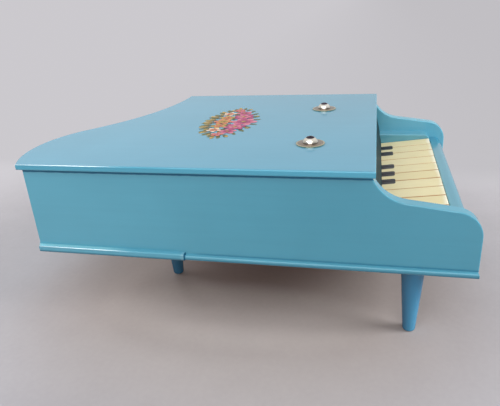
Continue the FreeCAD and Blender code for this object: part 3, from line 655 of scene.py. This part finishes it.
pine = bare_wood("bare_pine", (0.60, 0.42, 0.22), (0.42, 0.26, 0.11), (14, 320, 320))
beech = bare_wood("bare_beech", (0.52, 0.34, 0.19), (0.40, 0.24, 0.12), (420, 20, 420))
dress(pine, "balance_rail", "front_rail", "back_rail", "hammer_rail", "base_batten", "tail_leg_block")
dress(beech, *numbered("hammer_"))

# %% [markdown]
# ## Working by hand in code
# New pieces are modelled as at the desk: add a primitive, go into edit mode, select faces or points by where
# they are, and use the usual tools on them. These helpers do the selecting, since code has no mouse.

# %% Helpers for edit mode


def deselect_all():
    """Leave nothing selected, since an operator acts on all that is."""
    bpy.ops.object.select_all(action="DESELECT")


def add(primitive, name, **how):
    """Add a primitive with its place and size in its mesh."""
    deselect_all()
    primitive(**how)
    piece = bpy.context.object
    piece.name = name
    bpy.ops.object.transform_apply(location=True, rotation=True, scale=True)
    return piece


def pick(piece, wanted, kind="FACE"):
    """In edit mode, select only the faces or points that pass a test of their place and normal."""
    bpy.ops.mesh.select_mode(type=kind)
    bpy.ops.mesh.select_all(action="DESELECT")
    shape = bmesh.from_edit_mesh(piece.data)
    for part in shape.faces if kind == "FACE" else shape.verts:
        place = part.calc_center_median() if kind == "FACE" else part.co
        part.select_set(bool(wanted(place, part.normal)))
    shape.select_flush_mode()
    bmesh.update_edit_mesh(piece.data)


def extrude(z):
    """Pull the selected faces up or down."""
    bpy.ops.mesh.extrude_region_move(TRANSFORM_OT_translate={"value": (0, 0, z)})


def move(z):
    """Shift what is selected up or down."""
    bpy.ops.transform.translate(value=(0, 0, z))


def close_shell():
    """Turn all faces of a closed shape outwards and leave edit mode."""
    bpy.ops.mesh.select_all(action="SELECT")
    bpy.ops.mesh.normals_make_consistent(inside=False)
    bpy.ops.object.mode_set(mode="OBJECT")


def use_modifier(piece, kind, **settings):
    """Add a modifier, set it and apply it at once."""
    bpy.context.view_layer.objects.active = piece
    bpy.ops.object.modifier_add(type=kind)
    modifier = piece.modifiers[-1]
    for setting, value in settings.items():
        setattr(modifier, setting, value)
    bpy.ops.object.modifier_apply(modifier=modifier.name)


# %% [markdown]
# ## Felt strips
# A strip of red felt lies on the front rail, where the pressed keys land, and one on the back rail below
# their tails. Felt is soft, so the keys have pressed it flat and left a low ridge below every joint, and its
# surface is a little fuzzy. A grid gives enough points for that; it is extruded down to the rail to make a
# closed strip.

# %% Mix the felt
FELT_DEEP = (0.15, 0.018, 0.020)
FELT_RED = (0.27, 0.045, 0.040)
FIBRE_DEPTH = 0.2 * MM
felt = Finish("red_felt", Roughness=0.95, IOR=1.4)
fibres = felt.noise(1400, detail=4, roughness=0.7)
felt.set("Base Color", felt.ramp(fibres, (0.3, FELT_DEEP), (0.7, FELT_RED)))
felt.relief(fibres, FIBRE_DEPTH)
print(f"{felt.material.name}: fibres {FIBRE_DEPTH / MM} mm deep")

# %% Model the two strips
STRIP_COLUMNS, STRIP_ROWS = 120, 7
PRESSED_DEPTH = 0.12 * MM
RIDGE_HALF_WIDTH = 0.14
FUZZ_HEIGHT = 0.16 * MM
FUZZ_LEVEL = 0.75
FELT_SMOOTH = math.radians(50)
fuzz = bpy.data.textures.new("felt_fuzz", "CLOUDS")
fuzz.noise_scale = 2 * MM


def under_a_key(place, _):
    """True where a key presses the felt, false on the ridge below a joint."""
    in_keys = place.x / KEY_PITCH + KEY_COUNT / 2
    return abs(in_keys - round(in_keys)) > RIDGE_HALF_WIDTH


def felt_strip(name, node):
    """A strip of felt in the place of its CAD solid, pressed down under each key."""
    low, high = (Vector(corner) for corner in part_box(node))
    size = high - low
    middle = (low + high) / 2
    top = (middle.x, middle.y, high.z)
    strip = add(
        bpy.ops.mesh.primitive_grid_add, name,
        x_subdivisions=STRIP_COLUMNS, y_subdivisions=STRIP_ROWS, size=1, location=top,
    )
    bpy.ops.object.mode_set(mode="EDIT")
    bpy.ops.transform.resize(value=(size.x, size.y, 1), center_override=top)
    pick(strip, under_a_key, kind="VERT")
    move(z=-PRESSED_DEPTH)
    bpy.ops.mesh.select_all(action="SELECT")
    extrude(z=-size.z)
    pick(strip, lambda place, _: place.z < middle.z, kind="VERT")
    bpy.ops.transform.resize(value=(1, 1, 0), center_override=(middle.x, middle.y, low.z))
    close_shell()
    use_modifier(
        strip, "DISPLACE",
        texture=fuzz, strength=FUZZ_HEIGHT, mid_level=FUZZ_LEVEL, texture_coords="LOCAL",
    )
    bpy.ops.object.shade_smooth_by_angle(angle=FELT_SMOOTH)
    strip.data.materials.append(felt.material)
    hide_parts(node)
    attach(strip, "case")
    print(f"{name}: {len(strip.data.polygons)} faces")


felt_strip("front_felt_strip", "front_rail_felt")
felt_strip("back_felt_strip", "back_rail_felt")

# %% [markdown]
# ## Slotted screws
# Two dark screws hold the chime bar through the lid. A plain dome would pass from far away, but a screw
# without a slot can't be driven. Each head starts as a low cylinder; its top face is inset and lifted again
# and again along the curve of the dome, the bottom face becomes the shank, and a thin block cuts the slot.

# %% Shape a screw's head and shank
HEAD_RADIUS = 3.0 * MM
HEAD_EDGE = 0.3 * MM
HEAD_RISE = 0.9 * MM
HEAD_CORNERS = 48
DOME_RINGS = 6
SHANK_RADIUS = 2.0 * MM
TIP_LENGTH = 1 * MM
TIP_TAPER = 0.6 * MM
LEVEL_FACE = 0.9
screw_low, screw_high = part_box("chime_screws")
seat_z = washer_high[2]


def raise_dome():
    """Inset and lift the selected top face ring by ring, as part of a ball."""
    ball = (HEAD_RADIUS**2 + HEAD_RISE**2) / (2 * HEAD_RISE)
    edge_angle = math.asin(HEAD_RADIUS / ball)
    angles = [edge_angle * (1 - ring / DOME_RINGS) for ring in range(DOME_RINGS)]
    for outer, inner in zip(angles, angles[1:]):
        bpy.ops.mesh.inset(thickness=ball * (math.sin(outer) - math.sin(inner)))
        move(z=ball * (math.cos(inner) - math.cos(outer)))
    bpy.ops.mesh.poke(offset=ball * (1 - math.cos(angles[-1])))


def plain_screw(name, x, y):
    """A round-head screw with no slot, whose head sits on the washer at (x, y)."""
    screw = add(
        bpy.ops.mesh.primitive_cylinder_add, name,
        vertices=HEAD_CORNERS, radius=HEAD_RADIUS, depth=HEAD_EDGE, location=(x, y, seat_z + HEAD_EDGE / 2),
    )
    bpy.ops.object.mode_set(mode="EDIT")
    pick(screw, lambda place, normal: normal.z > LEVEL_FACE)
    raise_dome()
    pick(screw, lambda place, normal: normal.z < -LEVEL_FACE)
    bpy.ops.mesh.inset(thickness=HEAD_RADIUS - SHANK_RADIUS)
    extrude(z=screw_low[2] - seat_z + TIP_LENGTH)
    bpy.ops.mesh.inset(thickness=TIP_TAPER)
    move(z=-TIP_LENGTH)
    bpy.ops.object.mode_set(mode="OBJECT")
    return screw


print(f"screws reach from {screw_low[2] / MM:.1f} to {screw_high[2] / MM:.1f} mm above the floor")

# %% Cut the slots, each stopped at its own turn
SLOT_LENGTH = 3 * HEAD_RADIUS
SLOT_WIDTH = 0.8 * MM
SLOT_DEPTH = 0.6 * MM
BASS_SLOT_TURN, TREBLE_SLOT_TURN = math.radians(25), math.radians(118)
SCREW_SMOOTH = math.radians(35)
screw_y = (screw_low[1] + screw_high[1]) / 2


def make_active(piece):
    """Select one piece alone and make it the one that operators work on."""
    deselect_all()
    piece.select_set(True)
    bpy.context.view_layer.objects.active = piece


def slotted_screw(name, x, slot_turn):
    """A dark screw whose slot is turned by an angle; the block that cuts it is longer than the head."""
    screw = plain_screw(name, x, screw_y)
    cutter = add(
        bpy.ops.mesh.primitive_cube_add, "slot_cutter",
        size=1, location=(x, screw_y, screw_high[2]), rotation=(0, 0, slot_turn),
        scale=(SLOT_LENGTH, SLOT_WIDTH, 2 * SLOT_DEPTH),
    )
    use_modifier(screw, "BOOLEAN", object=cutter, operation="DIFFERENCE", solver="EXACT")
    bpy.data.objects.remove(cutter, do_unlink=True)
    make_active(screw)
    bpy.ops.object.shade_smooth_by_angle(angle=SCREW_SMOOTH)
    screw.data.materials.append(blued.material)
    return screw


bass_screw = slotted_screw("bass_screw", washer_low[0] + washer_radius, BASS_SLOT_TURN)
treble_screw = slotted_screw("treble_screw", washer_high[0] - washer_radius, TREBLE_SLOT_TURN)
print(f"slots {SLOT_WIDTH / MM} mm wide and {SLOT_DEPTH / MM} mm deep")

# %% Join the screws


def join(name, pieces):
    """Make one piece of several."""
    make_active(pieces[0])
    for piece in pieces:
        piece.select_set(True)
    bpy.ops.object.join()
    whole = bpy.context.object
    whole.name = name
    return whole


screws = join("slotted_chime_screws", [bass_screw, treble_screw])
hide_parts("chime_screws")
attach(screws, "case")
print(f"screws: {len(screws.data.polygons)} faces")

# %% [markdown]
# ## Flowers on the lid
# A printed transfer decorates the lid. It is a film thinner than paper, so it could be painted into the
# lid's material, but dozens of petals are far easier to lay as thin flat shapes: one petal and one leaf are
# modelled, then copied, turned and scaled into a symmetrical spray of simple garden flowers. Each copy
# remembers how far along its length a point lies, and the inks shade with that.

# %% Mix the printing inks
INK_IOR = 1.36
INK_TONES = {
    "rose": ((0.26, 0.020, 0.070), (0.56, 0.180, 0.250)),
    "magenta": ((0.13, 0.006, 0.050), (0.38, 0.040, 0.150)),
    "coral": ((0.30, 0.028, 0.020), (0.55, 0.170, 0.090)),
    "cream": ((0.45, 0.250, 0.180), (0.70, 0.580, 0.440)),
    "leaf": ((0.028, 0.036, 0.010), (0.100, 0.110, 0.026)),
    "gold": ((0.19, 0.105, 0.018), (0.44, 0.290, 0.060)),
}


def ink(name, foot, tip):
    """A printed ink that shades from the foot of a petal to its tip, with the grain of a coarse screen."""
    finish = Finish(name, IOR=INK_IOR)
    speckle = finish.noise(900)
    shade = finish.blend_of(finish.attribute("reach"), 0.8, speckle)
    finish.set("Base Color", finish.ramp(shade, (0.25, foot), (0.80, tip)))
    finish.set("Roughness", finish.ramp(speckle, (0.3, 0.30), (0.7, 0.45)))
    return finish


inks = {colour: ink(f"{colour}_ink", foot, tip) for colour, (foot, tip) in INK_TONES.items()}
print("inks:", ", ".join(inks))

# %% Model one petal, one leaf and one flower eye
FILM = 0.05 * MM
FILM_CORNERS = 16
FILM_MARGIN = 0.12


def film_shape(name, width, waist_at, waist):
    """A thin closed shape one unit long, its foot at the origin, narrowed below the waist."""
    shape = add(
        bpy.ops.mesh.primitive_circle_add, name,
        vertices=FILM_CORNERS, radius=0.5, fill_type="NGON", location=(0, 0.5, 0),
    )
    bpy.ops.object.mode_set(mode="EDIT")
    bpy.ops.mesh.select_all(action="SELECT")
    bpy.ops.transform.resize(value=(width, 1, 1), center_override=(0, 0.5, 0))
    pick(shape, lambda place, _: place.y < waist_at, kind="VERT")
    bpy.ops.transform.resize(value=(waist, 1, 1), center_override=(0, 0, 0))
    pick(shape, lambda place, normal: True)
    bpy.ops.mesh.inset(thickness=FILM_MARGIN * width)
    bpy.ops.mesh.select_all(action="SELECT")
    extrude(z=FILM)
    close_shell()
    reach = shape.data.attributes.new("reach", "FLOAT", "POINT")
    for point, value in zip(shape.data.vertices, reach.data):
        value.value = min(max(point.co.y, 0), 1)
    return shape


petal = film_shape("petal", width=0.66, waist_at=0.45, waist=0.62)
leaf = film_shape("leaf", width=0.40, waist_at=0.30, waist=0.60)
eye = film_shape("flower_eye", width=1.0, waist_at=-1, waist=1)
print("petal, leaf and eye:", [len(shape.data.polygons) for shape in (petal, leaf, eye)], "faces")

# %% Lay a shape on the lid, and a flower of several
SPRAY_X, SPRAY_Y = 4 * MM, 19.5 * MM
SPRAY_UNIT = 0.92 * MM
LEAF_LAYER, SPRIG_LAYER, FLOWER_LAYER = 0.02 * MM, 0.09 * MM, 0.15 * MM
OVER_LIFT, RING_LIFT, EYE_LIFT, NEXT_LIFT = 0.16 * MM, 0.05 * MM, 0.14 * MM, 0.004 * MM
INNER_RING, EYE_SIZE = 0.62, 0.34
TURN_PER_UNIT = 9
lid_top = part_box("lid")[1][2]
laid = []


def lay(source, x, y, turn, size, layer, colour):
    """Copy a shape onto the lid: place and size in the spray's unit from its centre, turn in degrees."""
    make_active(source)
    bpy.ops.object.duplicate()
    copy = bpy.context.object
    copy.scale = (size * SPRAY_UNIT, size * SPRAY_UNIT, 1)
    copy.rotation_euler.z = math.radians(turn)
    copy.location = (SPRAY_X + x * SPRAY_UNIT, SPRAY_Y + y * SPRAY_UNIT, lid_top + layer)
    bpy.ops.object.transform_apply(location=True, rotation=True, scale=True)
    copy.data.materials.append(inks[colour].material)
    laid.append(copy)


def blossom(x, y, radius, petals, outer, inner, over=False):
    """A double flower: two rings of petals and a golden eye, laid under or over its neighbours."""
    layer = FLOWER_LAYER + (OVER_LIFT if over else 0)
    for ring, (share, colour) in enumerate(((1.0, outer), (INNER_RING, inner))):
        for number in range(petals):
            turn = 360 * (number + ring / 2) / petals + TURN_PER_UNIT * x
            lay(petal, x, y, turn, radius * share, layer + ring * RING_LIFT + number * NEXT_LIFT, colour)
    lay(eye, x, y - radius * EYE_SIZE / 2, 0, radius * EYE_SIZE, layer + EYE_LIFT, "gold")


print(f"the spray lies {lid_top / MM:.1f} mm above the floor")

# %% Lay the flowers
blossom(0, -8, 13, 6, "rose", "magenta")
blossom(0, 12, 9.5, 6, "coral", "gold", over=True)
for side in (-1, 1):
    blossom(side * 18, -4, 10.5, 6, "magenta", "rose", over=True)
    blossom(side * 15, 12, 8, 5, "gold", "coral")
    blossom(side * 33, -1, 8.5, 5, "rose", "magenta")
    blossom(side * 29, 13, 7, 5, "cream", "coral", over=True)
    blossom(side * 43, 6, 6, 5, "coral", "rose", over=True)
print(f"{len(laid)} petals and eyes")

# %% Lay the leaves and sprigs
# A row holds x, y, turn and length on the treble half; the loop mirrors it for the bass half.
LEAVES = (
    (4, 18, -8, 14), (11, 18, -22, 14), (19, 17, -34, 13), (27, 16, -45, 13), (35, 13, -60, 12),
    (41, 9, -75, 11), (46, 3, -95, 9), (7, -14, -165, 9), (15, -11, -145, 10), (25, -9, -130, 10),
    (35, -6, -115, 9), (42, -1, -105, 9), (6, 3, -70, 15), (22, 4, -80, 15), (8, 8, -30, 12),
)
SPRIGS = (
    (7, 21, -20, 8), (16, 20, -24, 11), (24, 18, -46, 7), (32, 17, -48, 10), (40, 12, -70, 7),
    (47, 7, -82, 9), (20, -13, -150, 6), (44, -3, -105, 7), (2, 21, -6, 10),
)
for layer, leaves, colour in ((LEAF_LAYER, LEAVES, "leaf"), (SPRIG_LAYER, SPRIGS, "gold")):
    for number, (x, y, turn, size) in enumerate(leaves):
        lift = layer + number * NEXT_LIFT
        lay(leaf, -x, y, -turn, size, lift, colour)
        lay(leaf, x, y, turn, size, lift + NEXT_LIFT / 2, colour)
print(f"{2 * len(LEAVES)} leaves and {2 * len(SPRIGS)} sprigs")

# %% Make one transfer of it
for source in (petal, leaf, eye):
    bpy.data.objects.remove(source, do_unlink=True)
spray = join("flower_transfer", laid)
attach(spray, "case")
print(f"flower_transfer: {len(laid)} shapes, {len(spray.data.polygons)} faces")

# %% [markdown]
# ## Floor
# A pale floor carries the shadow and ends in a paler backdrop. The sheet's colour holds painted shade and
# light as well: it is painted warmer and darker round the toy, darker still under it as a painted shadow,
# lighter in a patch under the bass side of the base as painted light, and paler beyond; it also has a faint
# mottle. Ellipses on the floor mask those tones. Far from the toy, the floor shows the backdrop's own colour
# to the camera and to whatever mirrors it, while the light that it throws back onto the toy stays that of a
# plain floor.

# %% Lay the floor
FLOOR_SIZE = 60
floor = add(bpy.ops.mesh.primitive_plane_add, "floor", size=FLOOR_SIZE)
ground = Finish("pale_floor", Roughness=0.9, Specular_IOR_Level=0)
floor.data.materials.append(ground.material)
print(f"floor: {FLOOR_SIZE} m wide")

# %% Tones of the sheet round the toy
# Painted shade and light: the near and warm tones darken the floor round the toy, the darkest tone paints a
# shadow under it, and a lighter tone lightens a patch under the bass side; the open tone is the paler floor
# beyond.
FLOOR_NEAR = (0.372, 0.359, 0.385)
FLOOR_WARM_SHADE = (0.376, 0.335, 0.323)
FLOOR_SHADOW = (0.290, 0.235, 0.225)
FLOOR_PAINTED_LIGHT = (0.465, 0.422, 0.412)
FLOOR_OPEN = (0.440, 0.423, 0.446)
MOTTLE = ((0.36, 0.955), (0.64, 1.0))
ELLIPSE_OUTSIDE, ELLIPSE_INSIDE = 1.2, 0.15
floor_across, floor_along, _ = ground.where()


def round_the_toy(across_reach, along_reach, bassward=0):
    """1 in the middle of an ellipse on the floor and 0 outside it; bassward shifts it to the bass side."""
    across_share = ground.work("MULTIPLY_ADD", floor_across, 1 / across_reach, bassward / across_reach)
    along_share = ground.work("DIVIDE", floor_along, along_reach)
    along_square = ground.times(along_share, along_share)
    off_middle = ground.work("MULTIPLY_ADD", across_share, across_share, along_square)
    return ground.step(off_middle, ELLIPSE_OUTSIDE, ELLIPSE_INSIDE)


# Painted shadow round and under the toy, painted light in a patch under the bass side of the base.
warm_shaded_sheet = ground.mix(round_the_toy(0.25, 0.28), FLOOR_NEAR, FLOOR_WARM_SHADE)
shadowed_sheet = ground.mix(round_the_toy(0.08, 0.09), warm_shaded_sheet, FLOOR_SHADOW)
open_sheet = ground.mix(round_the_toy(0.40, 0.208, bassward=0.12), FLOOR_OPEN, shadowed_sheet)
lightened_sheet = ground.mix(round_the_toy(0.045, 0.115, bassward=0.096), open_sheet, FLOOR_PAINTED_LIGHT)
mottle = ground.blend_of(ground.noise(45, detail=3), 0.5, ground.noise(260, detail=4))
cloth = ground.shaded(lightened_sheet, ground.ramp(mottle, *MOTTLE))
print("sheet mixed from five tones")

# %% Blend the floor into the backdrop
FLOOR_FAR = (0.500, 0.490, 0.515)
BACKDROP = (0.600, 0.585, 0.615)
UNLIT = (0, 0, 0)
FAR_ACROSS = (0.15, 0.265)
FAR_ROUND = (0.34, 0.62)
GLOW_ALONG = (-0.5, 0.5)
GLOW_ROUND = (4, 20)
GLOW_LEAST, GLOW_RISE = 0.89, 0.11
from_toy = ground.distance(floor_across, floor_along)
far = ground.work("MAXIMUM", ground.step(floor_across, *FAR_ACROSS), ground.step(from_toy, *FAR_ROUND))
floor_rays = ground.put("ShaderNodeLightPath").outputs
in_gloss = ground.work("MAXIMUM", floor_rays["Is Glossy Ray"], floor_rays["Is Transmission Ray"])
looked_at = ground.work("MAXIMUM", floor_rays["Is Camera Ray"], in_gloss)
seen_far = ground.times(far, looked_at)
evened = ground.work("MAXIMUM", ground.step(floor_along, *GLOW_ALONG), ground.step(from_toy, *GLOW_ROUND))
glow = ground.work("MULTIPLY_ADD", evened, GLOW_RISE, GLOW_LEAST)
ground.set("Base Color", ground.mix(seen_far, ground.mix(far, cloth, FLOOR_FAR), UNLIT))
ground.set("Emission Color", BACKDROP)
ground.set("Emission Strength", ground.times(seen_far, glow))
print(f"backdrop starts {FAR_ACROSS[0]} m from the middle on the treble side, {FAR_ROUND[0]} m elsewhere")

# %% [markdown]
# ## Light
# The light is a photographer's: one large softbox high on the bass side, and smaller ones in front of the
# keyboard, beyond the treble side and behind the tail, in an evenly lit room. What the gloss mirrors is set
# apart from that: the room looks bright beyond the treble side, where the lid mirrors it, the smaller boxes
# don't show in the gloss, and a dim little window towards the tail only draws pale lines along the polished
# edges.

# %% Room light
ROOM_LIGHT = ((0.0, 0.46), (0.30, 0.36), (1.0, 0.10))
MIRRORED_FAR = ((0.0, 0.60), (0.20, 0.72), (0.42, 0.92), (1.0, 0.97))
MIRRORED_NEAR = ((0.0, 0.20), (0.30, 0.26), (0.70, 0.90), (1.0, 1.0))
TREBLE_SIDE = (-0.4, 0.6)
world = bpy.data.worlds.new("room")
bpy.context.scene.world = world
world.use_nodes = True


class Air(Recipe):
    """The room's light, mixed like a finish."""

    def __init__(self, room):
        self.tree = room.node_tree
        self.shader = self.tree.nodes["Background"]
        self.direction = self.put("ShaderNodeTexCoord").outputs["Generated"]


air = Air(world)
treble_way, _, upward_way = air.split(air.direction)
beyond_treble = air.step(treble_way, *TREBLE_SIDE)
mirrored = air.mix(beyond_treble, air.ramp(upward_way, *MIRRORED_NEAR), air.ramp(upward_way, *MIRRORED_FAR))
room_rays = air.put("ShaderNodeLightPath").outputs
lit = air.mix(room_rays["Is Glossy Ray"], air.ramp(upward_way, *ROOM_LIGHT), mirrored)
straight = air.work("MAXIMUM", room_rays["Is Camera Ray"], room_rays["Is Transmission Ray"])
air.set("Color", air.mix(straight, lit, BACKDROP))
print(f"room light from {ROOM_LIGHT[0][1]} at the horizon to {ROOM_LIGHT[-1][1]} overhead")

# %% Lamps
TOY_MIDDLE = Vector((0, 0, 0.08))


def softbox(name, place, size, power, in_the_gloss=True, on_the_paint=True):
    """A rectangular area lamp that looks at the middle of the toy; the gloss or the paint may miss it."""
    lamp = bpy.data.objects.new(name, bpy.data.lights.new(name, "AREA"))
    bpy.context.scene.collection.objects.link(lamp)
    lamp.data.shape = "RECTANGLE"
    lamp.data.size, lamp.data.size_y = size
    lamp.data.energy = power
    lamp.location = place
    lamp.rotation_euler = (TOY_MIDDLE - lamp.location).to_track_quat("-Z", "Y").to_euler()
    lamp.visible_glossy = in_the_gloss
    lamp.visible_diffuse = on_the_paint
    print(f"{name}: {power} W")


softbox("bass_side_softbox", (-1.05, -0.05, 1.00), (1.3, 1.3), 13.2)
softbox("front_softbox", (-0.10, -1.20, 0.75), (0.6, 0.6), 16.5, in_the_gloss=False)
softbox("treble_side_softbox", (0.90, 0.70, 0.50), (0.5, 0.5), 4.5, in_the_gloss=False)
softbox("tail_softbox", (0.05, 1.20, 0.75), (0.6, 0.6), 10.5, in_the_gloss=False)
softbox("tail_window", (-0.60, 0.74, 1.05), (0.34, 0.20), 1.3, on_the_paint=False)
bpy.context.scene.view_settings.view_transform = "Standard"
